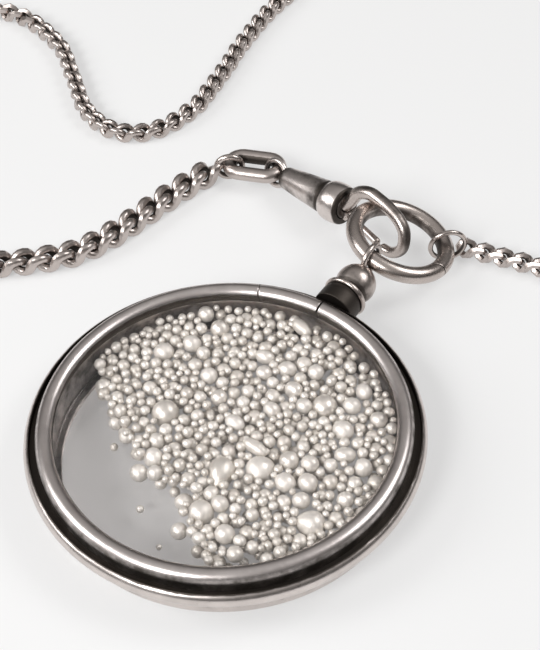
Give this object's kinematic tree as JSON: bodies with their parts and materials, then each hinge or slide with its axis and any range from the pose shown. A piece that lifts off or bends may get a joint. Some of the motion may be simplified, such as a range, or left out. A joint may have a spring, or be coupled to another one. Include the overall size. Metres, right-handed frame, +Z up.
{
  "type": "locket medallion pendant",
  "caption": "Round glass-fronted silver medallion filled with loose silver granules, held by a wire bow ring and snap clasp on a graduated curb chain.",
  "frame": {"origin": "middle of the case's flat back, on the table", "axes": "+Z up out of the front glass, +Y from the case to its neck, +X to the right seen from above"},
  "size_m": [0.1491, 0.1584, 0.0074],
  "materials": {
    "oxidised_silver": "polished silver with black oxidised recesses",
    "polished_silver": "warm polished silver",
    "fine_silver": "pearly bright fine silver",
    "glass": "clear"
  },
  "bodies": {
    "pendant": {"case_body": "oxidised_silver", "bezel": "polished_silver", "front_glass": "glass", "back_glass": "glass", "granules": "fine_silver", "finial": "polished_silver", "bow_ring": "polished_silver", "clasp_hook": "polished_silver", "clasp_barrel": "oxidised_silver", "join_link": "oxidised_silver", "chain_start_ring": "polished_silver", "chain": "oxidised_silver", "chain_end_ring": "polished_silver"},
    "gate": {"clasp_gate": "polished_silver"}
  },
  "joints": [
    {"name": "gate_hinge", "type": "hinge", "parent": "pendant", "child": "gate", "pos_m": [-0.00706, 0.03365, 0.00281], "axis": [-0.1924, -0.925, 0.3276], "range_deg": [0, 18]}
  ]
}
